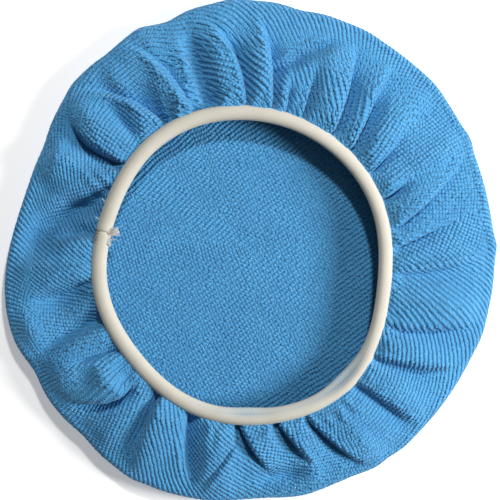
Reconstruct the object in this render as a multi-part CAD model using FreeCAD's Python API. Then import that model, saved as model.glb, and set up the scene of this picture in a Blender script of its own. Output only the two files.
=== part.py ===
"""Elastic-hemmed microfibre polishing bonnet, laid out relaxed with its mouth up.

One round cloth blank forms the flat polishing face, rolls over at the rim and comes back as a
gathered skirt. A folded elastic tape binds the gathered edge and makes the mouth that grips a
polisher's pad. Frame: origin at the middle of the polishing face, +Z up through the mouth, in mm.
"""

import FreeCAD
import Part

import math
import os

from FreeCAD import Vector

# Cloth
CLOTH_THICKNESS = 2.5  # terry with loops on both sides
RIM_RADIUS = 125.5  # outermost reach of the rolled rim
RIM_TURN = 5.0  # outside radius of the roll, which leaves a 5 mm gap inside it
SKIRT_RISE = 7.3  # from the top of the roll to the skirt's highest point at the hem
SKIRT_HEM_THICKNESS = 3.6  # the gathered cloth just outside the tape, pressed together
SKIRT_STEPS = 9  # sections of each skirt surface
ROLL_STEPS = 8  # sections of half a roll
SKIRT_CROWN = 0.9  # under 1 lifts the dome's shoulder near the rim
EDGE_OVERLAP = 2.0  # how far the pressed edge runs back into the skirt
EDGE_SET_BACK = 0.8  # the edge stops short of the tape's fold
FUSE_BITE = 0.01  # overlap between solids that are made into one

# Mouth: the ring of tape, which lies a little off the middle of the face
MOUTH_X = -3.5
MOUTH_Y = -7.5
MOUTH_Z = 15.0  # height of the tape's middle
MOUTH_RADIUS = 71.0  # inside the ring, relaxed
TAPE_WIDTH = 8.0  # a 16 mm tape, folded in half
TAPE_THICKNESS = 1.0
TAPE_HALF_HEIGHT = 3.6  # of the folded bead, plump over the gathers
NOSE_HALF_HEIGHT = 1.2  # upright land at the fold
CROWN_OUT = 0.62  # of the tape's width, to the bead's highest point
SHOULDER = (0.16, 0.70)  # shares of the tape's width and of the bead's half height
CHEEK = (0.045, 0.53)
LINE_POINTS = 800  # samples of the bead's line when a point on it is looked up
LEG_END_DROP = 0.5  # how far each leg's free edge closes back in
CLEARANCE = 0.3  # cloth to tape, which move apart
TAPE_PLAY = 0.05  # tape to tape, and tape to strand

# The lapped joint in the tape, by angle about the ring's middle
JOINT_ANGLE = 166.5
LAP_LENGTH = 12.0
JOINT_SLIT = 1.0
LAP_STEP = 1.2

# Elastic strands inside the tape
STRANDS_PER_LEG = 4
STRAND_RADIUS = 0.25
STRAND_INSET = 0.9  # outermost strand in from the legs' free edges
STRAND_FREE = 3.2  # width of the tape that holds no strand, most of it at the fold

# Thread
THREAD_RADIUS = 0.2
STITCH_LENGTH = 2.5
STITCH_PITCH = 3.2
STITCH_INSET = 1.5  # stitch line in from the legs' free edges
STITCH_SINK = 0.12  # how far a stitch beds into the tape
STITCH_STOP = 1.0  # degrees that the rows stop short of the lap
TACK_BARS = 5
TACK_PITCH = 1.5
TACK_BAR_LENGTH = 3.2
TACK_INSET = 1.0  # outer end in from the legs' free edges
TACK_START = 2.0  # from the slit to the first bar

# Yarn ends at the joint
YARN_RADIUS = 0.22
FRAYED_YARNS = 6
FRAYED_LENGTH = 3.0
FRAYED_FAN = 16.0  # degrees from one yarn to the next
FRAYED_PITCH = 0.6  # from root to root
FRAYED_ROOT_OUT = 0.30  # of the tape's width
FRAYED_REACH = (-0.30, 0.60, 0.51)  # shares of the length: inward, sideways, up
FRAYED_OFFSET = 1.5  # degrees clockwise of the joint
STRAY_YARN_ANGLES = (161.5, 153.5)
STRAY_YARN_LENGTH = 2.6
STRAY_YARN_INSET = 0.4  # root in from the legs' free edges
STRAY_YARN_REACH = (0.8, -0.4, 0.5)  # shares of the length: outward, sideways, up
STRAY_YARN_LIFT = 1.5  # yarn radii above the tape at the root

LEG_END_RADIUS = MOUTH_RADIUS + TAPE_WIDTH
UP = Vector(0, 0, 1)
MOUTH_CENTRE = Vector(MOUTH_X, MOUTH_Y, MOUTH_Z)


def export(name, shape):
    """One STEP file for one node, after a check that it holds sound closed solids."""
    solids = shape.Solids
    assert solids and all(s.isValid() and s.Volume > 0 for s in solids), name
    shape.exportStep(f"parts/{name}.step")
    print(f"{name}: {len(solids)} solid(s), {sum(s.Volume for s in solids):.1f} mm3")


def place(shape):
    """From the ring's own frame, with its middle at the origin, to the part's frame."""
    moved = shape.copy()
    moved.translate(MOUTH_CENTRE)
    return moved


def turned(shape, degrees):
    """A copy turned about the ring's own axis."""
    copy = shape.copy()
    copy.rotate(Vector(0, 0, 0), UP, degrees)
    return copy


# ---- cloth ----


def lofted(sections):
    """A closed solid through level circles, each (radius, height, share of the mouth's offset)."""
    wires = []
    for radius, height, share in sections:
        middle = Vector(share * MOUTH_X, share * MOUTH_Y, height)
        wires.append(Part.Wire(Part.makeCircle(radius, middle)))
    return Part.makeLoft(wires, True, True)


def roll_sections(turn, first_height):
    """Half a roll at the rim, from its lowest circle to its highest."""
    found = []
    for i in range(ROLL_STEPS + 1):
        angle = math.radians(-90 + 180 * i / ROLL_STEPS)
        radius = RIM_RADIUS - RIM_TURN + turn * math.cos(angle)
        found.append((radius, first_height + turn * (1 + math.sin(angle)), 0.0))
    return found


def skirt_sections(start_height, end_height):
    """The skirt from the top of the roll to the tape, rising as a low dome."""
    start_radius = RIM_RADIUS - RIM_TURN
    end_radius = LEG_END_RADIUS + CLEARANCE
    found = []
    for i in range(1, SKIRT_STEPS + 1):
        share = i / SKIRT_STEPS
        radius = start_radius + (end_radius - start_radius) * share
        rise = math.sin(share * math.pi / 2) ** SKIRT_CROWN
        found.append((radius, start_height + (end_height - start_height) * rise, share))
    return found


def make_cloth():
    """The whole cloth: face, roll, skirt and the pressed edge that lies inside the tape."""
    outer_top = 2 * RIM_TURN + SKIRT_RISE
    inner_turn = RIM_TURN - CLOTH_THICKNESS
    outer = lofted(
        roll_sections(RIM_TURN, 0.0) + skirt_sections(2 * RIM_TURN, outer_top)
    )
    inner_top = outer_top - SKIRT_HEM_THICKNESS
    inner_start = CLOTH_THICKNESS + 2 * inner_turn
    inner = lofted(
        roll_sections(inner_turn, CLOTH_THICKNESS) + skirt_sections(inner_start, inner_top)
    )
    well_radius = LEG_END_RADIUS + CLEARANCE
    well_foot = Vector(MOUTH_X, MOUTH_Y, inner_top - FUSE_BITE)
    well = Part.makeCylinder(well_radius, outer_top, well_foot)
    shell = outer.cut(inner.fuse(well))
    layers = 2 * TAPE_THICKNESS + TAPE_PLAY + CLEARANCE
    half = TAPE_HALF_HEIGHT - LEG_END_DROP - layers
    edge_inner = MOUTH_RADIUS + layers + EDGE_SET_BACK
    edge_outer = well_radius + EDGE_OVERLAP
    low = MOUTH_CENTRE - Vector(0, 0, half)
    edge = Part.makeCylinder(edge_outer, 2 * half, low)
    edge = edge.cut(Part.makeCylinder(edge_inner, 2 * half, low))
    return shell.fuse(edge).removeSplitter()


# ---- tape ----


def bead_wire():
    """The folded tape's outside line in the ring's own XZ plane, open at the legs' free edges."""
    leg_z = TAPE_HALF_HEIGHT - LEG_END_DROP
    leg = Vector(LEG_END_RADIUS, 0, leg_z)
    top = Vector(MOUTH_RADIUS + CROWN_OUT * TAPE_WIDTH, 0, TAPE_HALF_HEIGHT)
    shoulder, cheek = [
        Vector(MOUTH_RADIUS + out * TAPE_WIDTH, 0, up * TAPE_HALF_HEIGHT)
        for out, up in (SHOULDER, CHEEK)
    ]
    nose = Vector(MOUTH_RADIUS, 0, NOSE_HALF_HEIGHT)

    def under(v):
        return Vector(v.x, 0, -v.z)

    edges = [
        Part.Arc(leg, top, shoulder).toShape(),
        Part.Arc(shoulder, cheek, nose).toShape(),
        Part.makeLine(nose, under(nose)),
        Part.Arc(under(nose), under(cheek), under(shoulder)).toShape(),
        Part.Arc(under(shoulder), under(top), under(leg)).toShape(),
    ]
    return Part.Wire(edges)


def inward(wire, distance):
    """The line moved a distance into the bead."""
    moved = wire.makeOffset2D(distance, 0, False, True)
    if moved.BoundBox.XMin < wire.BoundBox.XMin:
        moved = wire.makeOffset2D(-distance, 0, False, True)
    return moved


def band_face(line, depth):
    """The flat C-shaped face between a line and the same line moved inward."""
    inside = inward(line, depth)
    a, b = line.OrderedVertexes, inside.OrderedVertexes
    first, last = a[0].Point, a[-1].Point
    near, far = b[0].Point, b[-1].Point
    if first.distanceToPoint(near) > first.distanceToPoint(far):
        near, far = far, near
    ends = [Part.makeLine(first, near), Part.makeLine(last, far)]
    return Part.Face(Part.Wire(Part.__sortEdges__(line.Edges + inside.Edges + ends)))


def swept(face, start, length_mm):
    """A face turned about the ring's axis from an angle, along a length at the mouth's radius."""
    angle = math.degrees(length_mm / MOUTH_RADIUS)
    return turned(face, start).revolve(Vector(0, 0, 0), UP, angle)


def strand_seats():
    """Where the strands run through the tape's section, as (radius, height) pairs."""
    middle = inward(bead_wire(), TAPE_THICKNESS / 2)
    points = middle.discretize(LINE_POINTS)
    first = LEG_END_RADIUS - STRAND_INSET
    gap = (TAPE_WIDTH - STRAND_FREE) / (STRANDS_PER_LEG - 1)
    seats = []
    for i in range(STRANDS_PER_LEG):
        wanted = first - i * gap
        upper = min((p for p in points if p.z > 0), key=lambda p: abs(p.x - wanted))
        seats.append((upper.x, upper.z))
    return seats + [(x, -z) for x, z in seats]


def disc(radius, x, z):
    """A round face in the ring's own XZ plane."""
    circle = Part.makeCircle(radius, Vector(x, 0, z), Vector(0, 1, 0))
    return Part.Face(Part.Wire(circle))


def make_tape():
    """One tape: it runs round the mouth, and its far end tucks inside its near end."""
    section = band_face(bead_wire(), TAPE_THICKNESS)
    for x, z in strand_seats():
        section = section.cut(disc(STRAND_RADIUS + TAPE_PLAY, x, z))
    round_mouth = 2 * math.pi * MOUTH_RADIUS - JOINT_SLIT
    slit = math.degrees(JOINT_SLIT / MOUTH_RADIUS)
    ring = swept(section, JOINT_ANGLE + slit, round_mouth)
    inner_line = inward(bead_wire(), TAPE_THICKNESS + TAPE_PLAY)
    tucked = band_face(inner_line, TAPE_THICKNESS)
    lap = swept(tucked, JOINT_ANGLE, JOINT_SLIT + LAP_LENGTH)
    step_start = JOINT_ANGLE - math.degrees(LAP_STEP / MOUTH_RADIUS)
    joining_line = inward(bead_wire(), TAPE_THICKNESS - FUSE_BITE)
    joining = band_face(joining_line, TAPE_THICKNESS + TAPE_PLAY)
    step = swept(joining, step_start, LAP_STEP)
    return ring.fuse(step).fuse(lap)


def make_strand(seat):
    """One elastic strand, from one end of the tape to the other."""
    x, z = seat
    slit = math.degrees(JOINT_SLIT / MOUTH_RADIUS)
    round_mouth = 2 * math.pi * MOUTH_RADIUS - JOINT_SLIT
    return swept(disc(STRAND_RADIUS, x, z), JOINT_ANGLE + slit, round_mouth)


# ---- thread and yarn ----


def rod(start, end, radius):
    """A round-ended rod between two points."""
    run = end - start
    body = Part.makeCylinder(radius, run.Length, start, run)
    return body.fuse([Part.makeSphere(radius, start), Part.makeSphere(radius, end)])


def bead_top(radius):
    """Height of the bead's upper surface at a radius, in the ring's own frame."""
    upper = (p for p in bead_wire().discretize(LINE_POINTS) if p.z > 0)
    return min(upper, key=lambda p: abs(p.x - radius)).z


def make_stitches(side):
    """A row of stitches near the legs' free edges, on the upper (1) or lower (-1) leg."""
    radius = LEG_END_RADIUS - STITCH_INSET
    height = side * (bead_top(radius) + THREAD_RADIUS - STITCH_SINK)
    count = int(2 * math.pi * radius / STITCH_PITCH)
    half = STITCH_LENGTH / 2
    one = rod(Vector(radius, -half, height), Vector(radius, half, height), THREAD_RADIUS)
    skipped = math.degrees((LAP_LENGTH + JOINT_SLIT) / MOUTH_RADIUS)
    found = []
    for i in range(count):
        angle = 360.0 * i / count
        from_lap = abs((angle - JOINT_ANGLE - skipped / 2 + 180) % 360 - 180)
        if from_lap > skipped / 2 + STITCH_STOP:
            found.append(turned(one, angle))
    return Part.makeCompound(found)


def make_tack():
    """Bars of thread across the tape, which hold its lapped ends together."""
    outer = LEG_END_RADIUS - TACK_INSET
    inner = outer - TACK_BAR_LENGTH
    height = TAPE_HALF_HEIGHT + THREAD_RADIUS - STITCH_SINK
    bar = rod(Vector(inner, 0, height), Vector(outer, 0, height), THREAD_RADIUS)
    found = []
    for i in range(TACK_BARS):
        offset = JOINT_SLIT + TACK_START + i * TACK_PITCH
        found.append(turned(bar, JOINT_ANGLE + math.degrees(offset / MOUTH_RADIUS)))
    return Part.makeCompound(found)


def make_frayed_yarns():
    """Cut yarns of the tape's end, fanned out on top of the bead beside the slit."""
    root_radius = MOUTH_RADIUS + FRAYED_ROOT_OUT * TAPE_WIDTH
    into, sideways, up = FRAYED_REACH
    found = []
    for i in range(FRAYED_YARNS):
        from_middle = i - (FRAYED_YARNS - 1) / 2
        fan = math.radians(FRAYED_FAN * from_middle)
        start = Vector(root_radius, FRAYED_PITCH * from_middle, TAPE_HALF_HEIGHT + YARN_RADIUS)
        reach = Vector(into * math.cos(fan), sideways * math.sin(fan), up) * FRAYED_LENGTH
        yarn = rod(start, start + reach, YARN_RADIUS)
        found.append(turned(yarn, JOINT_ANGLE - FRAYED_OFFSET))
    return Part.makeCompound(found)


def make_stray_yarns():
    """Two short yarn ends that stand out past the legs' free edges."""
    found = []
    for angle in STRAY_YARN_ANGLES:
        root_radius = LEG_END_RADIUS - STRAY_YARN_INSET
        height = bead_top(root_radius) + STRAY_YARN_LIFT * YARN_RADIUS
        start = Vector(root_radius, 0, height)
        end = start + Vector(*STRAY_YARN_REACH) * STRAY_YARN_LENGTH
        found.append(turned(rod(start, end, YARN_RADIUS), angle))
    return Part.makeCompound(found)


def main():
    os.makedirs("parts", exist_ok=True)
    export("microfibre_cloth", make_cloth())
    export("binding_tape", place(make_tape()))
    for number, seat in enumerate(strand_seats(), 1):
        export(f"elastic_strand_{number}", place(make_strand(seat)))
    export("needle_thread", place(make_stitches(1)))
    export("looper_thread", place(make_stitches(-1)))
    export("joint_tack_thread", place(make_tack()))
    export("frayed_tape_yarns", place(make_frayed_yarns()))
    export("stray_yarn_ends", place(make_stray_yarns()))


main()
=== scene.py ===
"""The looks of an elastic-hemmed microfibre polishing bonnet, lying relaxed with its mouth up.

The cloth is one sheet, worked out in the flat as polar coordinates: the working face, the roll at
the rim and the gathered skirt. Its pleats are a list of creases about the mouth's middle. Every
point keeps its place in the flat cloth, so that the rows of pile run on over the rim.
"""

import math
from collections import namedtuple

import bpy
import numpy as np
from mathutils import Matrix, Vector


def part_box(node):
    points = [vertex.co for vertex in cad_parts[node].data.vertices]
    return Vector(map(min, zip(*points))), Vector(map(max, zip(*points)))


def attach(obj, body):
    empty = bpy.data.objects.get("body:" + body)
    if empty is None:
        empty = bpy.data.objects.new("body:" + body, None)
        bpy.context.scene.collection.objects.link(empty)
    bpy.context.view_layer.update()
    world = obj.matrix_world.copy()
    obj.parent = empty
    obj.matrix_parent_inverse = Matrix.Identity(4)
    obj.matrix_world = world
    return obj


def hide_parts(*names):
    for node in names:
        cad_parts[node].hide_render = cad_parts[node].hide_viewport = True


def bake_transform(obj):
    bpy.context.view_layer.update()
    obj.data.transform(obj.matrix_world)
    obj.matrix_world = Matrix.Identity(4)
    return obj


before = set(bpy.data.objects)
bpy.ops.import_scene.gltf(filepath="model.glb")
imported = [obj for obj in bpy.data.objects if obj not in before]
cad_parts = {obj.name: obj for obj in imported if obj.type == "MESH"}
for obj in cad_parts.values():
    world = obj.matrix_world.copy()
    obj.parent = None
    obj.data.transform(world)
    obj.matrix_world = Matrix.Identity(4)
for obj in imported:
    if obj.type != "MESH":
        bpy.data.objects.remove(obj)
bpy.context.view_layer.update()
MM = 0.001
TAU = 2 * math.pi


# ---------------------------------------------------------------- sizes, in millimetres

def cad_box_mm(node):
    """Lowest and highest corner of a CAD node, in millimetres."""
    low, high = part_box(node)
    return np.array(low) / MM, np.array(high) / MM


TAPE_LOW, TAPE_HIGH = cad_box_mm("binding_tape")
CLOTH_LOW, CLOTH_HIGH = cad_box_mm("microfibre_cloth")
MOUTH = (TAPE_LOW + TAPE_HIGH) / 2
TAPE_HALF_WIDTH = 4.0  # of the folded tape
RING_RADIUS = (TAPE_HIGH[0] - TAPE_LOW[0]) / 2 - TAPE_HALF_WIDTH  # to the folded tape's middle
RIM_RADIUS = (CLOTH_HIGH[0] - CLOTH_LOW[0]) / 2

CLOTH = 1.5  # thickness between the feet of the pile on both sides
PILE = 0.5  # how far the loops of pile stand up on each side
ROLL = 4.3  # radius of the middle of the cloth where it turns over at the rim
FACE_Z = CLOTH / 2 + PILE + 0.25  # middle of the cloth in the working face, above the floor
FLAT_RADIUS = 182.0  # of the round blank

# Mean radii of the outlines about which they wave, and their harmonics: (waves round, mm, degrees
# of a crest)
RIM_MEAN = RIM_RADIUS - 0.5
RING_MEAN = RING_RADIUS - 0.3
RIM_WAVES = ((1, 1.6, 285), (2, 2.6, 68), (3, 1.8, 99), (4, 0.8, 30), (5, 0.8, 47), (6, 0.8, 11),
             (7, 0.8, 40))
RING_WAVES = ((1, 0.9, 350), (2, 2.7, 103), (3, 0.8, 62), (4, 0.7, 31), (5, 0.6, 35), (6, 0.4, 12))

# Rows of pile, by the direction square to them in the flat cloth, and their spacing
ROW_ANGLE = 125.0
ROW_PITCH = 2.2
LOOP_ANGLE = 26.0
LOOP_PITCH = 1.6


def wrapped(degrees):
    """The same angle, from -180 to 180."""
    return (degrees + 180) % 360 - 180


def wave_sum(angle, waves):
    """Sum of the harmonics at an angle in radians."""
    total = np.zeros_like(angle)
    for count, size, crest in waves:
        total += size * np.cos(count * (angle - math.radians(crest)))
    return total


# Bulges and dents of the rim where folds reach it: (degrees, mm, reach in degrees)
RIM_BUMPS = ((-151, -2.4, 5), (-132, -1.3, 4), (-118, 0.8, 3), (-98, 0.8, 5), (-78, 2.2, 7),
             (-60, 1.0, 3), (-52, 0.7, 3), (-20, 0.7, 4), (1, 1.3, 2.5), (27, 1.2, 2.5),
             (42, 0.7, 4), (62, 0.7, 4), (78, -1.6, 4), (94, 1.2, 4), (110, -2.2, 4),
             (117, 0.9, 2.5), (126, -1.1, 4), (137, 0.8, 3), (153, -0.9, 4))


def rim_radius(angle):
    """Radius of the rim at an angle in radians."""
    radius = RIM_MEAN + wave_sum(angle, RIM_WAVES)
    for at, height, reach in RIM_BUMPS:
        radius = radius + height * np.exp(-((wrapped(np.degrees(angle) - at) / reach) ** 2))
    return radius


def ring_radius(angle):
    """Radius of the tape's middle at an angle in radians."""
    return RING_MEAN + wave_sum(angle, RING_WAVES)


def smooth(value, low, high):
    """0 below low, 1 above high and an even turn between them."""
    t = np.clip((value - low) / (high - low), 0, 1)
    return t * t * (3 - 2 * t)


TAPE_REACH = 3.6  # from the ring's middle to the tape's outer edge


# ---------------------------------------------------------------- the cloth's shape

# A crease runs from its inner end to its outer end, each (degrees, mm) about the mouth's middle, and
# its middle bows by some degrees. The cloth falls to its floor over a reach, and on the other side a
# lip stands up, with a sharp or a soft face, and may hang over the floor. side is 1 where the lip is
# counter-clockwise of the floor. All but the ends, the bow and the side are in mm.
Crease = namedtuple("Crease", "inner outer bow depth lip reach overhang face side")
CREASES = tuple(Crease(*row) for row in (
    ((140.0, 80), (140.4, 116), 2.2, 7.0, 3.4, 12, 2.6, 5.2, -1),
    ((119.3, 80), (131.0, 118), -0.8, 8.0, 3.2, 16, 2.0, 3.0, 1),
    ((108.0, 80), (117.0, 127), -1.0, 4.6, 2.6, 13, 1.2, 3.4, 1),
    ((101.0, 82), (103.0, 122), 0.0, 6.6, 1.4, 9, 0.0, 9.0, 1),
    ((89.8, 80), (98.5, 126), -2.0, 5.6, 3.0, 10, 2.6, 2.6, 1),
    ((80.3, 80), (86.0, 126), -0.5, 5.4, 3.0, 10, 2.4, 2.6, 1),
    ((74.7, 79), (76.0, 93), 0.0, 4.6, 2.2, 7, 1.6, 2.4, 1),
    ((80.0, 98), (66.0, 124), 0.0, 4.4, 0.6, 9, 0.0, 8.0, 1),
    ((68.4, 80), (69.2, 104), 0.0, 2.6, 1.6, 6, 1.2, 2.4, 1),
    ((56.8, 80), (62.5, 124), 0.0, 7.0, 3.2, 11, 3.4, 2.6, 1),
    ((47.6, 79), (52.8, 124), 1.0, 6.6, 3.0, 11, 3.0, 2.6, 1),
    ((36.4, 80), (38.8, 102), 0.0, 4.0, 2.0, 8, 1.6, 2.4, 1),
    ((25.7, 78), (27.0, 92), 0.0, 4.4, 2.4, 8, 2.0, 2.4, 1),
    ((14.5, 80), (26.0, 127), 0.6, 3.4, 2.4, 9, 2.4, 2.4, 1),
    ((6.6, 78), (11.5, 108), 0.6, 4.4, 2.0, 8, 1.4, 2.6, 1),
    ((-3.4, 79), (1.4, 125), 0.0, 2.8, 1.0, 9, 0.4, 3.4, 1),
    ((-22.8, 84), (-15.0, 123), 0.6, 3.2, 1.6, 9, 1.2, 3.2, 1),
    ((-35.4, 82), (-26.0, 123), 0.0, 4.2, 2.0, 10, 1.0, 4.0, 1),
    ((-47.2, 83), (-43.2, 127), 0.4, 2.6, 1.0, 12, 0.2, 4.6, 1),
    ((-66.8, 84), (-58.4, 122), 0.4, 4.2, 2.4, 10, 2.0, 2.4, 1),
    ((-77.0, 81), (-72.0, 103), 0.6, 6.4, 2.8, 9, 2.6, 2.4, 1),
    ((-91.0, 79), (-84.0, 103), 0.4, 7.4, 2.8, 11, 2.6, 2.4, 1),
    ((-93.5, 92), (-101.5, 119), 0.0, 1.8, 1.0, 6, 0.8, 2.6, 1),
    ((-110.0, 80), (-103.0, 114), 0.0, 6.2, 1.8, 11, 0.4, 5.5, -1),
    ((-122.4, 79), (-119.8, 116), 0.0, 6.4, 2.6, 8, 1.4, 3.4, 1),
    ((-133.4, 87), (-140.2, 109), 0.6, 8.6, 5.0, 10, 4.4, 3.2, -1),
    ((-146.0, 79), (-150.0, 100), 0.0, 3.4, 1.6, 7, 1.0, 3.0, 1),
    ((-159.4, 78), (-157.5, 114), 0.0, 5.6, 1.4, 10, 0.0, 7.0, 1),
    ((-172.0, 82), (-169.5, 108), 0.0, 4.4, 1.6, 10, 0.0, 7.0, -1),
    ((168.5, 79), (171.0, 92), 0.0, 3.6, 1.6, 9, 0.4, 4.0, 1),
    ((156.5, 79), (175.5, 116), 1.5, 7.0, 3.4, 18, 0.0, 16.0, -1),
))

# Soft swellings and hollows: angle, radius, height, reach across and reach along the spoke, in mm
PILLOWS = (
    (136.0, 100, 4.8, 7, 18), (130.5, 94, -3.1, 4, 12), (124.5, 104, 2.8, 5, 16),
    (112.5, 100, 2.2, 7, 24), (96.5, 102, 2.5, 6, 26), (85.8, 100, 2.5, 5, 22),
    (77.5, 88, 2.8, 4, 9), (66.0, 108, 2.8, 9, 14), (62.5, 92, 3.1, 5, 14),
    (53.4, 98, 2.2, 5, 20), (43.0, 100, 4.2, 8, 22), (31.5, 104, 4.2, 10, 20),
    (20.5, 94, 3.1, 6, 16), (2.0, 98, 2.8, 9, 24), (-11.0, 100, 4.2, 11, 24),
    (-28.0, 100, 2.8, 7, 20), (-40.0, 102, 3.6, 8, 22), (-55.0, 104, 4.5, 11, 22),
    (-71.0, 98, 2.8, 5, 18), (-84.0, 90, 2.8, 6, 12), (-80.0, 109, -4.8, 12, 5),
    (-98.0, 100, 5.0, 11, 22), (-117.0, 98, 4.2, 7, 22), (-128.5, 102, 2.8, 8, 20),
    (-141.0, 89, 4.8, 6, 7), (-147.0, 104, 4.8, 12, 12), (-166.5, 96, -4.2, 8, 13),
    (-163.0, 112, 3.4, 9, 9), (-178.0, 98, 3.0, 7, 20), (160.0, 92, -4.0, 12, 12),
    (169.0, 108, -5.0, 13, 12), (151.0, 108, 5.6, 9, 14),
)

AROUND = 640  # columns of the cloth
FACE_RINGS = 22
ROLL_RINGS = 12
SKIRT_RINGS = 42
RINGS = FACE_RINGS + ROLL_RINGS + SKIRT_RINGS
ROLL_START = 119.0  # where the face starts to turn up, along the flat cloth
SKIRT_START = ROLL_START + math.pi * ROLL
HEM_TUCK = 1.5  # the cloth's edge lies this far inside the middle of the tape
RING_CROWDING = 0.8  # under 1 sets the face's rings closer together towards the rim
SKIRT_CROWN = 0.8  # under 1 lifts the skirt's shoulder near the rim

LIP_REACH = 9.0  # how far behind its face a lip dies away
HANG_REACH = 4.5  # and its overhang
DEEP = 3.0  # creases deeper than this hide cloth
CREASE_RISE = (-6.0, 3.0)  # mm past its inner end between which a crease sets in
CREASE_FALL = (0.4, 5.0)  # from this share of its length to these mm past its outer end it dies
PLEATS_RISE = (-0.12, 0.16)  # shares of the skirt between which the pleats set in
PLEATS_FALL = (0.86, 0.97)  # and between which they die at the tape


def crease_angle(crease, radius):
    """Angle of a crease's line at a radius, in degrees about the mouth's middle."""
    (a0, r0), (a1, r1) = crease.inner, crease.outer
    share = (radius - r0) / (r1 - r0)
    inside = np.clip(share, 0, 1)
    return a0 + (a1 - a0) * np.clip(share, -0.3, 1.3) + 4 * crease.bow * inside * (1 - inside)


def about_mouth(x, y):
    """Angle in degrees and distance about the mouth's middle."""
    dx, dy = x - MOUTH[0], y - MOUTH[1]
    return np.degrees(np.arctan2(dy, dx)), np.hypot(dx, dy)


def crease_shift(x, y):
    """Lift, and sideways push about the mouth, that the creases and pillows give at points."""
    angle, radius = about_mouth(x, y)
    lift = np.zeros_like(x)
    push = np.zeros_like(x)
    for c in CREASES:
        r0, r1 = c.inner[1], c.outer[1]
        across = c.side * np.radians(wrapped(angle - crease_angle(c, radius))) * radius
        fade = smooth(radius, r0 + CREASE_RISE[0], r0 + CREASE_RISE[1])
        fade *= 1 - smooth(radius, r0 + CREASE_FALL[0] * (r1 - r0), r1 + CREASE_FALL[1])
        floor = -c.depth * np.clip(1 + across / c.reach, 0, 1) ** 1.5
        rise = (c.depth + c.lip) * smooth(across, 0, c.face) - c.depth
        behind = np.maximum(across - c.face, 0)
        lip = rise * np.exp(-((behind / LIP_REACH) ** 2))
        lift += fade * np.where(across < 0, floor, lip)
        hang = smooth(across, -0.6, 0.6 * c.face) * np.exp(-((behind / HANG_REACH) ** 2))
        push -= c.side * fade * c.overhang * hang
    for a, r, height, wide, long in PILLOWS:
        across = np.radians(wrapped(angle - a)) * radius
        lift += height * np.exp(-((across / wide) ** 2) - ((radius - r) / long) ** 2)
    return lift, push


def noise_field(angle, along, seed, count, finest):
    """Smooth random ripple over the skirt, from a few seeded waves."""
    random = np.random.default_rng(seed)
    total = np.zeros_like(angle + along)
    for _ in range(count):
        waves = random.integers(6, finest)
        pull = random.uniform(-0.05, 0.05)
        phase = random.uniform(0, TAU)
        total = total + np.sin(waves * angle + pull * along + phase) * random.uniform(0.4, 1.0)
    return total / math.sqrt(count)


def ring_place(ring):
    """Where a ring lies: share of the face's radius, radians round the roll, share of the skirt."""
    face = np.clip(ring / FACE_RINGS, 0, 1) ** RING_CROWDING
    turn = math.pi * np.clip((ring - FACE_RINGS) / ROLL_RINGS, 0, 1)
    t = np.clip((ring - FACE_RINGS - ROLL_RINGS) / SKIRT_RINGS, 0, 1)
    return face, turn, t


def plain_place(ring, angle):
    """The unpleated cloth's middle at a ring number, whole or not, and an angle: x, y and z."""
    ring, angle = np.broadcast_arrays(np.asarray(ring, float), angle)
    rim = rim_radius(angle)
    hem = ring_radius(angle) - HEM_TUCK
    face, turn, t = ring_place(ring)
    start_z = FACE_Z + 2 * ROLL
    radius = face * (rim - ROLL) * (1 - t) + ROLL * np.sin(turn) + hem * t
    rise = np.sin(t * math.pi / 2) ** SKIRT_CROWN
    z = FACE_Z + ROLL * (1 - np.cos(turn)) + (MOUTH[2] - start_z) * rise
    return t * MOUTH[0] + radius * np.cos(angle), t * MOUTH[1] + radius * np.sin(angle), z


def flat_radius(ring):
    """How far out a ring lies in the flat cloth."""
    face, turn, t = ring_place(ring)
    return face * ROLL_START + ROLL * turn + (FLAT_RADIUS - SKIRT_START) * t


# The creases that hide cloth, in order round the mouth. Between each and the next lies a lobe.
SORT_RADIUS = 98.0
HIDING = sorted((c for c in CREASES if c.depth > DEEP),
                key=lambda c: float(crease_angle(c, SORT_RADIUS)))
HIDDEN_SHARE = 0.85  # of the gathered cloth that lies hidden in the creases


def lobe_middle(number):
    """The column angle, in degrees, of the middle of the lobe that starts at a crease."""
    first = float(crease_angle(HIDING[number], SORT_RADIUS))
    last = float(crease_angle(HIDING[(number + 1) % len(HIDING)], SORT_RADIUS))
    middle = math.radians(first + wrapped(last - first) / 2)
    x = 0.5 * MOUTH[0] + SORT_RADIUS * math.cos(middle)
    y = 0.5 * MOUTH[1] + SORT_RADIUS * math.sin(middle)
    return math.degrees(math.atan2(y, x))


def shown_share(ring):
    """How much of the flat cloth's angle shows in a lobe, at a ring."""
    _, _, t = ring_place(ring)
    actual = (RIM_RADIUS - ROLL) * (1 - t) + RING_RADIUS * t
    gathered = 1 - actual / np.maximum(flat_radius(ring), 1)
    return 1 - HIDDEN_SHARE * gathered * smooth(t, 0.0, 0.5)


def in_lobe(number, x, y):
    """True where a point of the unpleated skirt lies between a lobe's two creases."""
    angle, radius = about_mouth(x, y)
    first = crease_angle(HIDING[number], radius)
    last = crease_angle(HIDING[(number + 1) % len(HIDING)], radius)
    return (angle - first) % 360 < (last - first) % 360


def flat_places(ring, angle):
    """Where points of the cloth lie in the flat, in mm. Each lobe keeps its true scale."""
    x, y, _ = plain_place(ring, angle)
    column = np.degrees(angle) + 0 * x
    flat_angle = column.copy()
    for number in range(len(HIDING)):
        middle = lobe_middle(number)
        here = in_lobe(number, x, y) & (ring > FACE_RINGS + ROLL_RINGS)
        moved = middle + wrapped(column - middle) * shown_share(ring)
        flat_angle = np.where(here, moved, flat_angle)
    turn = np.radians(flat_angle)
    radius = flat_radius(ring) + 0 * x
    return np.stack([radius * np.cos(turn), radius * np.sin(turn), 0 * x], axis=-1)


# Random ripple of the skirt, and of the gathers beside the tape: mm, seed, waves and finest wave
RIPPLE = (0.45, 3, 9, 60)
GATHERS = (0.60, 8, 8, 110)


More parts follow.
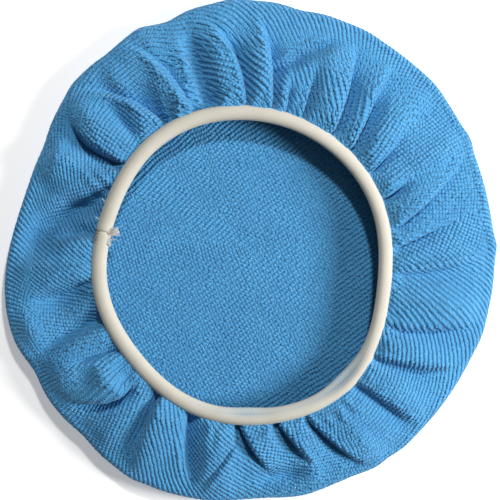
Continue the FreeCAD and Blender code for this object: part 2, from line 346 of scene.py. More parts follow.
def cloth_grid():
    """The middle of the cloth as (ring, column, 3), pleated, and its places in the flat."""
    ring = np.arange(1, RINGS + 1)[:, None]
    angle = np.arange(AROUND)[None, :] * TAU / AROUND
    x, y, z = plain_place(ring, angle)
    lift, push = crease_shift(x, y)
    t = np.clip((ring - FACE_RINGS - ROLL_RINGS) / SKIRT_RINGS, -1, 1)
    on_skirt = smooth(t, *PLEATS_RISE)
    off_tape = 1 - smooth(t, *PLEATS_FALL)
    _, radius = about_mouth(x, y)
    ripple = RIPPLE[0] * noise_field(angle, radius, *RIPPLE[1:]) * on_skirt
    gathers = GATHERS[0] * noise_field(angle, radius, *GATHERS[1:]) * smooth(t, 0.45, 0.85)
    top = z + off_tape * (on_skirt * lift + ripple + gathers)
    beside_tape = radius - ring_radius(angle) - TAPE_REACH
    under = MOUTH[2] + 0.3 + 0.6 * np.maximum(beside_tape, 0)
    top = np.where(t > 0.3, np.minimum(top, under), top)
    turn = off_tape * on_skirt * push / np.maximum(radius, 1)
    cosine, sine = np.cos(turn), np.sin(turn)
    dx, dy = x - MOUTH[0], y - MOUTH[1]
    clear = FACE_Z + CLOTH + 2 * PILE + 0.2
    top = np.where(t > 0, np.maximum(top, clear), top)
    points = np.stack([MOUTH[0] + dx * cosine - dy * sine, MOUTH[1] + dx * sine + dy * cosine, top],
                      axis=-1)
    return points, flat_places(ring, angle)


def relax(points, rounds, first_ring):
    """Evens out the skirt's points a little, so that no face is pinched."""
    for _ in range(rounds):
        inner = points[first_ring:-1]
        around = (np.roll(points, 1, axis=1) + np.roll(points, -1, axis=1))[first_ring:-1] / 2
        along = (points[first_ring - 1:-2] + points[first_ring + 1:]) / 2
        points[first_ring:-1] = 0.5 * inner + 0.3 * around + 0.2 * along
    return points


def grid_mesh(name, points, flat):
    """A mesh of rings of points round a middle point, which keeps its places in the flat."""
    rings, columns = points.shape[:2]
    verts = points.reshape(-1, 3) * MM
    index = np.arange(rings * columns).reshape(rings, columns)
    nxt = np.roll(index, -1, axis=1)
    quads = np.stack([index[:-1], index[1:], nxt[1:], nxt[:-1]], axis=-1).reshape(-1, 4)
    middle = points[0].mean(axis=0) * MM
    verts = np.vstack([verts, middle[None]])
    centre = len(verts) - 1
    faces = quads.tolist() + [[centre, int(a), int(b)] for a, b in zip(index[0], nxt[0])]
    mesh = bpy.data.meshes.new(name)
    mesh.from_pydata(verts.tolist(), [], faces)
    values = np.vstack([flat.reshape(-1, 3), [[0, 0, 0]]])
    layer = mesh.attributes.new("flat_mm", "FLOAT_VECTOR", "POINT")
    layer.data.foreach_set("vector", values.astype(np.float32).ravel())
    mesh.validate()
    mesh.shade_smooth()
    piece = bpy.data.objects.new(name, mesh)
    bpy.context.scene.collection.objects.link(piece)
    return piece


# ---------------------------------------------------------------- materials

class Nodes:
    """A short way to lay out a material's nodes."""

    def __init__(self, name):
        self.material = bpy.data.materials.new(name)
        self.material.use_nodes = True
        self.tree = self.material.node_tree
        self.shader = self.tree.nodes["Principled BSDF"]

    def add(self, kind, inputs=(), **settings):
        node = self.tree.nodes.new(kind)
        for key, value in settings.items():
            setattr(node, key, value)
        for key, value in dict(inputs).items():
            self.put(value, node.inputs[key])
        return node

    def put(self, value, socket):
        if isinstance(value, bpy.types.NodeSocket):
            self.tree.links.new(value, socket)
        else:
            socket.default_value = value

    def math(self, operation, a, b=0.0, c=0.0):
        node = self.add("ShaderNodeMath", operation=operation)
        for value, socket in zip((a, b, c), node.inputs):
            self.put(value, socket)
        return node.outputs[0]

    def ramp(self, factor, stops):
        node = self.add("ShaderNodeValToRGB", {"Fac": factor})
        ramp = node.color_ramp
        while len(ramp.elements) < len(stops):
            ramp.elements.new(0.5)
        for element, (place, colour) in zip(ramp.elements, stops):
            element.position = place
            element.color = (*colour, 1)
        return node.outputs["Color"]

    def noise(self, vector, scale, detail=3.0, rough=0.5):
        node = self.add("ShaderNodeTexNoise", {"Vector": vector, "Scale": scale,
                                               "Detail": detail, "Roughness": rough})
        return node.outputs["Fac"]

    def mix(self, factor, a, b, blend="MIX"):
        node = self.add("ShaderNodeMix", data_type="RGBA", blend_type=blend)
        self.put(factor, node.inputs["Factor"])
        self.put(a, node.inputs[6])
        self.put(b, node.inputs[7])
        return node.outputs[2]

    def bump(self, height, strength, distance):
        node = self.add("ShaderNodeBump", {"Height": height, "Strength": strength,
                                           "Distance": distance})
        self.tree.links.new(node.outputs["Normal"], self.shader.inputs["Normal"])


def across_rows(n, flat, angle, pitch):
    """How many rows lie between the cloth's middle and a point, square to them in the flat."""
    a = math.radians(angle)
    direction = (math.cos(a) / pitch, math.sin(a) / pitch, 0)
    dot = n.add("ShaderNodeVectorMath", {0: flat, 1: direction}, operation="DOT_PRODUCT")
    return dot.outputs["Value"]


BLUE_DARK = (0.048, 0.255, 0.510)
BLUE = (0.074, 0.315, 0.595)
BLUE_LIGHT = (0.108, 0.372, 0.655)


def cloth_sheen(n):
    """The soft bluish sheen of microfibre."""
    n.shader.inputs["Specular IOR Level"].default_value = 0.2
    n.shader.inputs["Sheen Weight"].default_value = 0.30
    n.shader.inputs["Sheen Roughness"].default_value = 0.45
    n.shader.inputs["Sheen Tint"].default_value = (0.50, 0.78, 1.0, 1)


def ground_material():
    """The knitted ground that the loops stand on: deep blue, with a groove between the rows."""
    n = Nodes("microfibre_ground")
    flat = n.add("ShaderNodeAttribute", attribute_name="flat_mm").outputs["Vector"]
    fibre = n.noise(flat, 2.2, 4.0, 0.7)
    u = across_rows(n, flat, ROW_ANGLE, ROW_PITCH)
    v = across_rows(n, flat, LOOP_ANGLE, LOOP_PITCH)
    rows = n.math("MULTIPLY_ADD", n.math("COSINE", n.math("MULTIPLY", u, TAU)), 0.5, 0.5)
    loops = n.math("MULTIPLY_ADD", n.math("COSINE", n.math("MULTIPLY", v, TAU)), 0.5, 0.5)
    pile = n.math("ADD", n.math("MULTIPLY", rows, 0.4), n.math("MULTIPLY", loops, 0.25))
    pile = n.math("ADD", pile, n.math("MULTIPLY", fibre, 0.5))
    # painted shade: the ground is coloured a little darker than the loops, and darker still where the
    # rows and loops dip into their grooves; the fibre noise is its own grain
    n.put(n.ramp(pile, ((0.2, (0.048, 0.24, 0.48)), (1.0, (0.080, 0.33, 0.60)))),
          n.shader.inputs["Base Color"])
    n.put(n.math("MULTIPLY_ADD", fibre, 0.12, 0.80), n.shader.inputs["Roughness"])
    cloth_sheen(n)
    n.bump(pile, 0.4, 0.5 * MM)
    return n.material


def loop_material():
    """Blue microfibre loops, each of its own tone, in slow drifts of lighter and darker cloth."""
    n = Nodes("microfibre_loops")
    flat = n.add("ShaderNodeAttribute", attribute_name="flat_mm").outputs["Vector"]
    place = n.add("ShaderNodeTexCoord").outputs["Object"]
    tone = n.add("ShaderNodeTexWhiteNoise", {"Vector": flat}, noise_dimensions="3D").outputs["Value"]
    patch = n.noise(flat, 0.05, 3.0)
    fibre = n.noise(place, 1 / (0.30 * MM), 3.0, 0.7)
    shade = n.math("ADD", n.math("MULTIPLY", tone, 0.36), n.math("MULTIPLY", fibre, 0.60))
    colour = n.ramp(shade, ((0.1, BLUE_DARK), (0.5, BLUE), (0.95, BLUE_LIGHT)))
    drift = n.ramp(patch, ((0.3, (0.82, 0.85, 0.88)), (0.7, (1.04, 1.03, 1.02))))
    n.put(n.mix(1.0, colour, drift, "MULTIPLY"), n.shader.inputs["Base Color"])
    n.put(n.math("MULTIPLY_ADD", fibre, 0.15, 0.75), n.shader.inputs["Roughness"])
    cloth_sheen(n)
    n.bump(fibre, 0.5, 0.15 * MM)
    return n.material


# Spacing of the tape's cross ribs, its lengthwise cords and the holes of its stitches, in mm
RIB_PITCH = 0.75
CORD_PITCH = 0.9
HOLE_PITCH = 1.6
HOLE_ROW = 1.9  # the holes' row lies this far to one side of the middle of the tape's width


def tape_material():
    """Cream elastic tape with fine cross ribs and a knitted grain."""
    n = Nodes("cream_elastic_tape")
    tape = n.add("ShaderNodeAttribute", attribute_name="tape_mm").outputs["Vector"]
    split = n.add("ShaderNodeSeparateXYZ", {0: tape})
    along, across = split.outputs[0], split.outputs[1]
    slow = n.noise(tape, 0.08, 2.0)
    fine = n.noise(tape, 3.0, 3.0, 0.6)
    ribs = n.math("MULTIPLY_ADD", n.math("SINE", n.math("MULTIPLY", along, TAU / RIB_PITCH)), 0.5, 0.5)
    cords = n.math("MULTIPLY_ADD", n.math("SINE", n.math("MULTIPLY", across, TAU / CORD_PITCH)), 0.5, 0.5)
    height = n.math("MULTIPLY_ADD", ribs, 0.14, n.math("MULTIPLY_ADD", cords, 0.12,
                                                      n.math("MULTIPLY", fine, 0.6)))
    colour = n.ramp(height, ((0.1, (0.50, 0.475, 0.405)), (0.45, (0.58, 0.555, 0.48)),
                             (0.8, (0.63, 0.605, 0.53))))
    # painted show-through: where the thin flap is out it is tinted blue-grey for the blue cloth seen
    # through it, and a row of its stitch holes is painted dark blue for the cloth and shade seen through
    # them
    thin = n.math("MULTIPLY", n.ramp(n.math("MULTIPLY_ADD", across, 0.1, 0.5),
                                     ((0.10, (0, 0, 0)), (0.28, (1, 1, 1)))), split.outputs[2])
    off_row = n.math("MULTIPLY", n.math("ABSOLUTE", n.math("ADD", across, HOLE_ROW)), 2.2)
    step = n.math("SINE", n.math("MULTIPLY", along, TAU / HOLE_PITCH))
    in_step = n.math("MULTIPLY_ADD", step, 0.5, 0.5)
    hole = n.math("MULTIPLY", n.math("SUBTRACT", 1.0, off_row), in_step)
    hole = n.math("MULTIPLY", n.math("MAXIMUM", hole, 0.0), thin)
    colour = n.mix(n.math("MULTIPLY", thin, 0.75), colour, (0.32, 0.44, 0.53, 1))
    colour = n.mix(n.math("MULTIPLY", hole, 0.8), colour, (0.08, 0.22, 0.40, 1))
    tint = n.ramp(slow, ((0.3, (0.93, 0.92, 0.90)), (0.7, (1.0, 1.0, 1.0))))
    n.put(n.mix(1.0, colour, tint, "MULTIPLY"), n.shader.inputs["Base Color"])
    n.put(n.math("MULTIPLY_ADD", fine, 0.15, 0.65), n.shader.inputs["Roughness"])
    n.shader.inputs["Sheen Weight"].default_value = 0.25
    n.shader.inputs["Sheen Roughness"].default_value = 0.4
    n.shader.inputs["Subsurface Weight"].default_value = 0.08
    n.shader.inputs["Subsurface Radius"].default_value = (0.8 * MM, 0.7 * MM, 0.6 * MM)
    n.bump(height, 0.35, 0.25 * MM)
    return n.material


def yarn_material(name, dark, light, pitch):
    """Twisted thread or loose yarn: slanting plies and a fine fibre grain."""
    n = Nodes(name)
    place = n.add("ShaderNodeTexCoord").outputs["Object"]
    grain = n.noise(place, 1 / (0.35 * MM), 3.0, 0.6)
    split = n.add("ShaderNodeSeparateXYZ", {0: place})
    slant = n.math("ADD", n.math("MULTIPLY", split.outputs[0], TAU / pitch),
                   n.math("MULTIPLY", split.outputs[1], TAU / (1.7 * pitch)))
    plies = n.math("MULTIPLY_ADD", n.math("SINE", slant), 0.5, 0.5)
    height = n.math("MULTIPLY_ADD", grain, 0.6, n.math("MULTIPLY", plies, 0.4))
    n.put(n.ramp(height, ((0.2, dark), (0.8, light))), n.shader.inputs["Base Color"])
    n.put(n.math("MULTIPLY_ADD", grain, 0.2, 0.6), n.shader.inputs["Roughness"])
    n.shader.inputs["Sheen Weight"].default_value = 0.3
    n.bump(height, 0.5, 0.1 * MM)
    return n.material


# ---------------------------------------------------------------- pieces


def bend_with_hem(piece):
    """The cloth stands on its working face. Hides the CAD cloth, and sets the piece's transform into its
    mesh."""
    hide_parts("microfibre_cloth")
    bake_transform(piece)


def unit(vectors):
    """The vectors at length 1."""
    return vectors / np.maximum(np.linalg.norm(vectors, axis=-1, keepdims=True), 1e-9)


def outward(points):
    """Unit normals of the grid, towards the outside of the bonnet."""
    around = np.roll(points, -1, axis=1) - np.roll(points, 1, axis=1)
    return unit(np.cross(around, np.gradient(points, axis=0)))


def with_middle(grid):
    """The grid with its middle point as ring 0."""
    middle = np.broadcast_to(grid[0].mean(axis=0), grid[:1].shape)
    return np.concatenate([middle, grid])


def sampled(grid, ring, angle):
    """The value between rings and columns of a grid that starts at its middle."""
    row = np.clip(ring, 0, RINGS - 0.001)
    column = (angle / TAU * AROUND) % AROUND
    i, j = row.astype(int), column.astype(int) % AROUND
    u, v = (row - i)[:, None], (column - np.floor(column))[:, None]
    k = (j + 1) % AROUND
    return ((1 - u) * ((1 - v) * grid[i, j] + v * grid[i, k])
            + u * ((1 - v) * grid[i + 1, j] + v * grid[i + 1, k]))


def loop_lattice(low, high):
    """Flat places of the loops between two radii: a slanted lattice of rows and loops."""
    a, b = math.radians(ROW_ANGLE), math.radians(LOOP_ANGLE)
    square_to = np.array([[math.cos(a), math.sin(a)], [math.cos(b), math.sin(b)]])
    count = int(2.4 * high / min(ROW_PITCH, LOOP_PITCH))
    rows, loops = np.meshgrid(np.arange(-count, count + 1), np.arange(-count, count + 1))
    steps = np.stack([rows.ravel() * ROW_PITCH, loops.ravel() * LOOP_PITCH])
    places = np.linalg.solve(square_to, steps).T
    radius = np.hypot(*places.T)
    return places[(radius > low) & (radius < high)]


def loops_on_cloth(places):
    """Ring numbers and column angles of the flat places that show, and which those are."""
    radius = np.hypot(*places.T)
    flat_angle = np.degrees(np.arctan2(places[:, 1], places[:, 0]))
    numbers = np.linspace(0, RINGS, 20 * RINGS + 1)
    ring = np.interp(radius, flat_radius(numbers), numbers)
    on_face = np.flatnonzero(ring <= FACE_RINGS + ROLL_RINGS)
    found = [(ring[on_face], np.radians(flat_angle[on_face]), on_face)]
    skirt = np.flatnonzero(ring > FACE_RINGS + ROLL_RINGS)
    for number in range(len(HIDING)):
        middle = lobe_middle(number)
        turned = wrapped(flat_angle[skirt] - middle) / shown_share(ring[skirt])
        angle = np.radians(middle + turned)
        x, y, _ = plain_place(ring[skirt], angle)
        keep = in_lobe(number, x, y) & (np.abs(turned) < WIDEST_TURN)
        found.append((ring[skirt][keep], angle[keep], skirt[keep]))
    return [np.concatenate(part) for part in zip(*found)]


# A loop's grain: a flat four-sided double pyramid
GRAIN = np.array([(1, 1, 0), (-1, 1, 0), (-1, -1, 0), (1, -1, 0), (0, 0, 1), (0, 0, -1)], float)
GRAIN_FACES = np.array([(0, 1, 4), (1, 2, 4), (2, 3, 4), (3, 0, 4),
                        (1, 0, 5), (2, 1, 5), (3, 2, 5), (0, 3, 5)])
GRAIN_SIZE = (1.45, 0.98, 0.36)  # half lengths along its row, across it and up, in mm
GRAIN_SPREAD = (0.88, 1.12)  # smallest and largest share of those
FOOT_SINK = 0.05  # how far a grain's middle lies in the ground
LOOP_DRIFT = 0.12  # how far a loop strays from its place, in mm
LOOP_TURN = 0.16  # and from its row's direction, in radians
LOOP_TILT = 0.16  # and from upright
WIDEST_TURN = 40.0  # degrees from a lobe's middle past which no loop is looked for

# Where the loops stand: side of the cloth (1 is the outside), flat radii, how far above the middle
# of the cloth they lie, which is less where it is steep, and the random seed
Patch = namedtuple("Patch", "name side low high above seed")
PILE_PATCHES = tuple(Patch(*row) for row in (
    ("pile_loops_skirt", 1, 130.0, 180.5, 0.7, 21),
    ("pile_loops_brow", 1, 126.5, 130.0, 0.4, 25),
    ("pile_loops_rim", 1, 117.0, 126.5, 0.0, 24),
    ("pile_loops_face", 1, 0.0, 117.0, 0.0, 22),
    ("pile_loops_inside", -1, 0.0, 112.0, 0.0, 23),
))


def pile(patch, points, material):
    """The loops of one patch of pile, as one mesh of closed grains."""
    random = np.random.default_rng(patch.seed)
    lattice = loop_lattice(patch.low, patch.high)
    ring, angle, which = loops_on_cloth(lattice)
    places = lattice[which]
    count = len(ring)
    up = patch.side * unit(sampled(with_middle(outward(points)), ring, angle))
    out = sampled(with_middle(np.gradient(points, axis=0)), np.maximum(ring, 1), angle)
    out = unit(out - up * np.sum(out * up, axis=1)[:, None])
    across = patch.side * np.cross(out, up)
    foot = sampled(with_middle(points), ring, angle) + up * (CLOTH / 2 - FOOT_SINK)
    outward_drift = random.normal(0, 1, (count, 1))
    sideways_drift = random.normal(0, 1, (count, 1))
    foot += LOOP_DRIFT * (outward_drift * out + sideways_drift * across)
    lean = math.radians(ROW_ANGLE + 90) - np.arctan2(places[:, 1], places[:, 0])
    lean = (lean + random.normal(0, LOOP_TURN, count))[:, None]
    along = np.cos(lean) * out + np.sin(lean) * across
    beside = np.cross(up, along)
    up = unit(up + LOOP_TILT * random.normal(0, 1, (count, 3)))
    size = np.array(GRAIN_SIZE) * random.uniform(*GRAIN_SPREAD, (count, 3))
    corner = GRAIN[None] * size[:, None]
    verts = (foot[:, None] + corner[..., :1] * along[:, None] + corner[..., 1:2] * beside[:, None]
             + corner[..., 2:] * up[:, None])
    faces = (GRAIN_FACES[None] + len(GRAIN) * np.arange(count)[:, None, None]).reshape(-1, 3)
    mesh = bpy.data.meshes.new(patch.name)
    mesh.from_pydata((verts.reshape(-1, 3) * MM).tolist(), [], faces.tolist())
    mesh.shade_smooth()
    mesh.materials.append(material)
    layer = mesh.attributes.new("flat_mm", "FLOAT_VECTOR", "POINT")
    flat = np.repeat(np.column_stack([places, np.zeros(count)]), len(GRAIN), axis=0)
    layer.data.foreach_set("vector", flat.astype(np.float32).ravel())
    piece = bpy.data.objects.new(patch.name, mesh)
    bpy.context.scene.collection.objects.link(piece)
    bend_with_hem(piece)
    return piece


def microfibre_cloth():
    """The pleated sheet with its pile."""
    points, flat = cloth_grid()
    points = relax(points, 3, FACE_RINGS + 2)
    piece = grid_mesh("microfibre_terry_cloth", points, flat)
    thick = piece.modifiers.new("thickness", "SOLIDIFY")
    thick.thickness = CLOTH * MM
    thick.offset = 0
    thick.use_even_offset = False
    piece.data.materials.append(ground_material())
    bend_with_hem(piece)
    loops = loop_material()
    grown = [pile(patch, points, loops) for patch in PILE_PATCHES]


# The folded tape's outer line in section: (out from the ring's middle, up). It is a plump bead over
# the gathered edge (BEAD_LINE), and in places a thin flap of it shows on the inside (FLAP_LINE).
BEAD_LINE = ((3.55, 0.5), (3.3, 1.6), (2.4, 2.4), (1.1, 2.8), (-0.3, 2.8), (-1.7, 2.4), (-2.9, 1.5),
             (-3.6, 0.2), (-3.3, -1.1), (-2.4, -2.1), (-1.0, -2.7), (0.4, -2.9), (1.8, -2.6),
             (3.0, -1.8), (3.55, -0.7))
FLAP_LINE = ((3.6, 0.7), (3.3, 1.9), (2.3, 2.8), (0.9, 3.1), (-0.5, 2.6), (-1.7, 1.5), (-3.2, 0.3),
             (-5.2, -0.9), (-4.7, -1.8), (-3.0, -2.0), (-1.2, -2.5), (0.4, -2.8), (1.9, -2.7),
             (3.1, -1.9), (3.6, -0.8))
# Where the flap is out: degrees round the mouth, reach in degrees and share
FLAPS = ((-48, 11, 1.0), (-88, 9, 0.7), (-68, 12, 0.25), (-104, 10, 0.15))
TAPE_THICK = 0.6
TAPE_SLACK = 0.10  # how much wider the tape lies at the left, where it is less stretched
TAPE_LEAN = -13.0  # degrees, with the inner edge up
SECTION_POINTS = 31  # on the outer line
JOINT = math.radians(166.5)
LAP = 9.0 / RING_RADIUS
TAPE_STEPS = 760
TUCK = 0.14  # how much smaller the tape's start is, inside its end
CUT_SWELL = 0.02  # how much plumper its end is
CUT_ROUNDING = 0.10  # and how far the very edge is drawn in


def spline(points, count):
    """Evenly shared points on a smooth line through a few points."""
    knots = np.array(points, float)
    padded = np.vstack([2 * knots[0] - knots[1], knots, 2 * knots[-1] - knots[-2]])
    found = []
    for value in np.linspace(0, len(knots) - 1, count):
        i = min(int(value), len(knots) - 2)
        t = value - i
        a, b, c, d = padded[i:i + 4]
        found.append(0.5 * (2 * b + (c - a) * t + (2 * a - 5 * b + 4 * c - d) * t ** 2
                            + (3 * b - a - 3 * c + d) * t ** 3))
    return np.array(found)


def flap_share(angle):
    """How far the thin flap is out at an angle, from 0 to 1."""
    off = [(wrapped(math.degrees(angle) - at) / reach, share) for at, reach, share in FLAPS]
    return min(1.0, sum(share * math.exp(-(x ** 2)) for x, share in off))


def tape_line(inset, angle=0.0):
    """The section's outer line at an angle round the mouth, moved into the tape by a distance."""
    share = flap_share(angle)
    line = (1 - share) * np.array(BEAD_LINE) + share * np.array(FLAP_LINE)
    outer = spline(line, SECTION_POINTS)
    step = np.gradient(outer, axis=0)
    inward = np.stack([-step[:, 1], step[:, 0]], axis=1)
    inward /= np.linalg.norm(inward, axis=1)[:, None]
    return outer + inward * inset


def hem_path(angle):
    """Radius and height of the ring's middle, and the tape's lean in radians, at an angle."""
    angle = np.asarray(angle, float)
    lift = 0.35 * np.sin(3 * angle + 0.6) + 0.25 * np.sin(5 * angle + 2.0)
    lean = TAPE_LEAN - 3 * np.cos(angle - math.radians(5)) + 2 * np.sin(4 * angle)
    return ring_radius(angle), MOUTH[2] + lift, np.radians(lean)


def on_tape(angle, out, up):
    """The point at (out, up) of the tape's section, at an angle round the mouth, in mm."""
    radius, height, lean = hem_path(angle)
    slack = 1 + TAPE_SLACK * (1 - np.cos(angle)) / 2
    out, up = out * slack, up * slack
    r = radius + out * np.cos(lean) - up * np.sin(lean)
    z = height + out * np.sin(lean) + up * np.cos(lean)
    return np.stack([MOUTH[0] + r * np.cos(angle), MOUTH[1] + r * np.sin(angle), z + 0 * r], axis=-1)


def add_piece(name, verts_mm, faces, node, slot, material):
    """A piece of the hem that stands for a CAD node and rides with the hem."""
    mesh = bpy.data.meshes.new(name)
    mesh.from_pydata((np.asarray(verts_mm) * MM).tolist(), [], faces)
    mesh.validate()
    mesh.shade_smooth()
    mesh.materials.append(material)
    piece = bpy.data.objects.new(name, mesh)
    bpy.context.scene.collection.objects.link(piece)
    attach(piece, "elastic_hem")
    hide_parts(node)
    return piece


def binding_tape():
    """One tape, swept round the mouth, with its start tucked inside its end at the joint."""
    across = np.linspace(-2 * TAPE_HALF_WIDTH, 2 * TAPE_HALF_WIDTH, SECTION_POINTS)
    across = np.concatenate([across, across[::-1]])
    angles = JOINT - LAP + np.linspace(0, TAU + LAP, TAPE_STEPS)
    rows, data = [], []
    for angle in angles:
        section = np.vstack([tape_line(0, angle), tape_line(TAPE_THICK, angle)[::-1]])
        from_start = (angle - angles[0]) * RING_RADIUS
        size = 1 - TUCK * (1 - float(smooth(from_start, 8.6, 11.0)))
        to_end = (angles[-1] - angle) * RING_RADIUS
        size += (CUT_SWELL * (1 - float(smooth(to_end, 1.0, 5.0)))
                 - CUT_ROUNDING * (1 - float(smooth(to_end, 0.0, 1.6))))
        rows.append(on_tape(np.full(len(section), angle), section[:, 0] * size, section[:, 1] * size))
        arc = np.full(len(section), angle * RING_RADIUS)
        data.append(np.stack([arc, across, 0 * across + flap_share(angle)], axis=1))
    rows, data = np.array(rows), np.array(data)
    steps, count = rows.shape[:2]
    index = np.arange(steps * count).reshape(steps, count)
    nxt = np.roll(index, -1, axis=1)
    quads = np.stack([index[:-1], index[1:], nxt[1:], nxt[:-1]], axis=-1).reshape(-1, 4).tolist()
    for row, order in ((index[0], 1), (index[-1], -1)):
        for i in range(count // 2 - 1):
            face = [int(row[i]), int(row[i + 1]), int(row[count - 2 - i]), int(row[count - 1 - i])]
            quads.append(face[::order])
    piece = add_piece("cream_binding_tape", rows.reshape(-1, 3), quads, "binding_tape",
                      "elastic_tape", tape_material())
    layer = piece.data.attributes.new("tape_mm", "FLOAT_VECTOR", "POINT")
    layer.data.foreach_set("vector", data.reshape(-1, 3).astype(np.float32).ravel())


def tube(path, radius, sides=6, taper=1.0):
    """Verts and faces of a closed tube along a path, in mm; taper is its end's share of width."""
    path = np.asarray(path, float)
    step = np.gradient(path, axis=0)
    step /= np.linalg.norm(step, axis=1)[:, None]
    up = np.array([0.0, 0.0, 1.0]) if abs(step[0, 2]) < 0.8 else np.array([1.0, 0.0, 0.0])
    side = np.cross(step, up)
    side /= np.linalg.norm(side, axis=1)[:, None]
    other = np.cross(side, step)
    turn = np.arange(sides) * TAU / sides
    width = radius * np.linspace(1, taper, len(path))[:, None, None]
    ring = side[:, None] * np.cos(turn)[None, :, None] + other[:, None] * np.sin(turn)[None, :, None]
    verts = (path[:, None] + width * ring).reshape(-1, 3)
    index = np.arange(len(path) * sides).reshape(len(path), sides)
    nxt = np.roll(index, -1, axis=1)
    faces = np.stack([index[:-1], nxt[:-1], nxt[1:], index[1:]], axis=-1).reshape(-1, 4).tolist()
    verts = np.vstack([verts, path[:1], path[-1:]])
    first, last = len(verts) - 2, len(verts) - 1
    faces += [[first, int(b), int(a)] for a, b in zip(index[0], nxt[0])]
    faces += [[last, int(a), int(b)] for a, b in zip(index[-1], nxt[-1])]
    return verts, faces


def joined(parts):
    """Verts and faces of several meshes as one."""
    verts, faces, base = [], [], 0
    for part_verts, part_faces in parts:
        verts.append(part_verts)
        faces += [[base + i for i in face] for face in part_faces]
        base += len(part_verts)
    return np.vstack(verts), faces


STRAND_SEATS = (3, 6, 9, 12)  # points of the section that the upper leg's strands run through
STRANDS = 2 * len(STRAND_SEATS)
STRAND_RADIUS = 0.22


def elastic_strands(material):
    """The elastane ends that run inside the tape's two legs."""
    angles = JOINT + np.linspace(0.02, TAU - 0.02, 240)
    middles = [tape_line(TAPE_THICK / 2, angle) for angle in angles]
    for number in range(STRANDS):
        place = STRAND_SEATS[number % len(STRAND_SEATS)]
        if number >= len(STRAND_SEATS):
            place = SECTION_POINTS - 1 - place
        path = [on_tape(angle, *middle[place]) for angle, middle in zip(angles, middles)]
        verts, faces = tube(path, STRAND_RADIUS)
        name = f"elastic_strand_{number + 1}"
        add_piece(f"elastane_{number + 1}", verts, faces, name, "elastane", material)


STITCH_PITCH = 2.1
STITCH_LENGTH = 1.5
STITCH_PLACE = 3  # point of the section's outer line that the stitches lie on
STITCH_SINK = 0.15  # how far their line lies in the tape
STITCH_RISE = np.array([-0.16, 0.04, 0.10, 0.04, -0.16])  # of a stitch's points above that line
THREAD_RADIUS = 0.17


def stitch_row(name, node, place, material):
    """A row of short stitches on one leg of the tape."""
    count = int(TAU * RING_RADIUS / STITCH_PITCH)
    parts = []
    for k in range(count):
        middle = TAU * k / count
        gap = (middle - JOINT + LAP + math.pi) % TAU - math.pi
        if -0.02 < gap < LAP + 0.03:
            continue
        out, up = tape_line(STITCH_SINK, middle)[place]
        half = STITCH_LENGTH / 2 / RING_RADIUS
        angles = middle + np.linspace(-half, half, len(STITCH_RISE))
        path = on_tape(angles, np.full(len(angles), out), up + STITCH_RISE * np.sign(up))
        parts.append(tube(path, THREAD_RADIUS))
    add_piece(name, *joined(parts), node, "thread", material)


TACKS = 9
TACK_START = 0.72  # share of the lap, past the joint
TACK_STEP = 0.09
TACK_ENDS = (1, 7)  # points of the section that the zigzag runs between
TACK_PROUD = 0.08  # how far the thread lies above the tape


def tack_thread(material):
    """A small zigzag over the tape's lapped ends."""
    line = tape_line(-TACK_PROUD)
    parts = []
    for k in range(TACKS):
        angle = JOINT + LAP * (TACK_START - TACK_STEP * k)
        there = JOINT + LAP * (TACK_START - TACK_STEP * (k + 1))
        ends = TACK_ENDS if k % 2 else TACK_ENDS[::-1]
        places = np.linspace(*ends, 7)
        angles = np.linspace(angle, there, 7)
        points = [on_tape(a, *line[int(round(q))]) for a, q in zip(angles, places)]
        parts.append(tube(points, THREAD_RADIUS))
    add_piece("joint_tack", *joined(parts), "joint_tack_thread", "thread", material)


def curl(start, direction, length, random, bend):
    """The path of a loose yarn that leaves a point in a direction and curls a little."""
    direction = direction / np.linalg.norm(direction)
    side = np.cross(direction, random.normal(size=3))
    side /= np.linalg.norm(side)
    other = np.cross(direction, side)
    t = np.linspace(0, 1, 9)[:, None]
    swing = random.uniform(0.6, 1.4) * bend * length
    wave = np.sin(t * random.uniform(2.0, 4.0)) * side + t ** 2 * random.uniform(-1, 1) * other
    return start + t * length * direction + swing * t * wave


# A tuft of cut yarns: radians past the joint, how many, mm long and its lean along the ring
Tuft = namedtuple("Tuft", "past count length lean")
TUFTS = (Tuft(0.010, 60, 6.2, -0.5), Tuft(0.066, 26, 3.6, 0.3))
TUFT_ROOT = (-2.4, 1.3)  # out and up in the tape's section
FRAYED_RADIUS = 0.15
STRAY_ANGLES = (162.5, 155.3)
STRAY_ROOT = (3.1, 1.6)
STRAY_LENGTH = 2.6
STRAY_RADIUS = 0.11


def frayed_yarns(material):
    """The tape's cut yarns, which stick out in two tufts on the inside of the joint."""
    random = np.random.default_rng(11)
    parts = []
    for tuft in TUFTS:
        angle = JOINT + tuft.past
        inward = -np.array([math.cos(angle), math.sin(angle), 0.0])
        along = np.array([-math.sin(angle), math.cos(angle), 0.0])
        for _ in range(tuft.count):
            start = on_tape(angle + random.normal() * 0.010, TUFT_ROOT[0] + random.normal() * 0.3,
                            TUFT_ROOT[1] + random.normal() * 0.25)
            lean = along * (tuft.lean + random.normal() * 0.2)
            lean[2] = random.uniform(-0.25, 0.35)
            path = curl(start, inward + lean, tuft.length * random.uniform(0.55, 1.05), random, 0.16)
            parts.append(tube(path, FRAYED_RADIUS, 5, 0.5))
    add_piece("frayed_tape_end", *joined(parts), "frayed_tape_yarns", "tape_yarn", material)


def stray_yarns(material):
    """Two short ends that stand out past the tape's outer edge."""
    random = np.random.default_rng(5)
    parts = []
    for angle in np.radians(STRAY_ANGLES):
        away = np.array([math.cos(angle), math.sin(angle), 0.0])
        along = np.array([-math.sin(angle), math.cos(angle), 0.0])
        for k in range(2):
            start = on_tape(angle + 0.004 * k, *STRAY_ROOT)
            direction = away - 0.5 * along + np.array([0, 0, 0.35])
            path = curl(start, direction, STRAY_LENGTH, random, 0.12)
            parts.append(tube(path, STRAY_RADIUS, 5, 0.5))
    add_piece("stray_yarns", *joined(parts), "stray_yarn_ends", "tape_yarn", material)


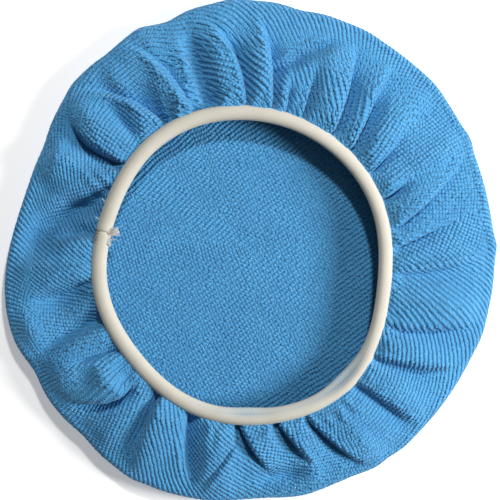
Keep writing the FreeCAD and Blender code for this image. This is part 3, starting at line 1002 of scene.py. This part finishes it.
def hem():
    """Everything that rides on the hem."""
    binding_tape()
    thread = yarn_material("cream_thread", (0.50, 0.45, 0.37), (0.80, 0.75, 0.66), 0.5 * MM)
    yarn = yarn_material("cream_yarn", (0.66, 0.61, 0.54), (0.88, 0.84, 0.78), 0.4 * MM)
    # a dark grey thread for the tack at the joint, darker than the stitches' cream thread
    dark_grey = yarn_material("dark_grey_thread", (0.16, 0.16, 0.14), (0.42, 0.40, 0.35), 0.5 * MM)
    elastane = yarn_material("elastane", (0.70, 0.68, 0.64), (0.86, 0.85, 0.82), 0.9 * MM)
    elastic_strands(elastane)
    stitch_row("needle_stitches", "needle_thread", STITCH_PLACE, thread)
    stitch_row("looper_stitches", "looper_thread", SECTION_POINTS - 1 - STITCH_PLACE, thread)
    tack_thread(dark_grey)
    frayed_yarns(yarn)
    stray_yarns(yarn)


# ---------------------------------------------------------------- setting

FLOOR_HALF = 8.0  # metres
VIEW_WIDTH = 0.2535  # metres that the picture takes in, at the next height above the floor
VIEW_HEIGHT = 0.010
LIGHT_REACH = 0.9  # metres from the middle
# name, degrees from +X, degrees above the floor, metres across, watts
LIGHTS = (("top_light", 74, 50, 0.09, 4.9), ("right_light", -6, 28, 0.30, 10.3))


def area_light(name, place, size, power):
    """A white round light that points at the middle of the floor."""
    data = bpy.data.lights.new(name, "AREA")
    data.shape = "DISK"
    data.size = size
    data.energy = power
    light = bpy.data.objects.new(name, data)
    light.location = place
    direction = -np.array(place)
    light.rotation_mode = "QUATERNION"
    light.rotation_quaternion = Vector(direction).to_track_quat("-Z", "Y")
    bpy.context.scene.collection.objects.link(light)


def setting():
    """The pale floor and the dim, even light of the studio."""
    mesh = bpy.data.meshes.new("floor")
    w = FLOOR_HALF
    mesh.from_pydata([(-w, -w, 0), (w, -w, 0), (w, w, 0), (-w, w, 0)], [], [[0, 1, 2, 3]])
    floor = bpy.data.objects.new("floor", mesh)
    bpy.context.scene.collection.objects.link(floor)
    n = Nodes("pale_floor")
    n.shader.inputs["Base Color"].default_value = (0.97, 0.97, 0.97, 1)
    n.shader.inputs["Roughness"].default_value = 0.9
    n.shader.inputs["Emission Color"].default_value = (1, 1, 1, 1)
    n.shader.inputs["Emission Strength"].default_value = 0.32
    mesh.materials.append(n.material)
    world = bpy.data.worlds.new("studio")
    world.use_nodes = True
    world.node_tree.nodes["Background"].inputs["Color"].default_value = (1, 1, 1, 1)
    world.node_tree.nodes["Background"].inputs["Strength"].default_value = 0.10
    bpy.context.scene.world = world
    for name, azimuth, height, size, power in LIGHTS:
        a, h = math.radians(azimuth), math.radians(height)
        place = (math.cos(h) * math.cos(a), math.cos(h) * math.sin(a), math.sin(h))
        area_light(name, LIGHT_REACH * np.array(place), size, power)
    data = bpy.data.cameras.new("camera")
    camera = bpy.data.objects.new("camera", data)
    data.lens = 85
    data.sensor_width = 36
    distance = VIEW_WIDTH * data.lens / data.sensor_width
    camera.location = (0.0, 0.0, distance + VIEW_HEIGHT)
    bpy.context.scene.view_settings.view_transform = "Standard"
    bpy.context.scene.collection.objects.link(camera)
    bpy.context.scene.camera = camera


microfibre_cloth()
hem()
setting()
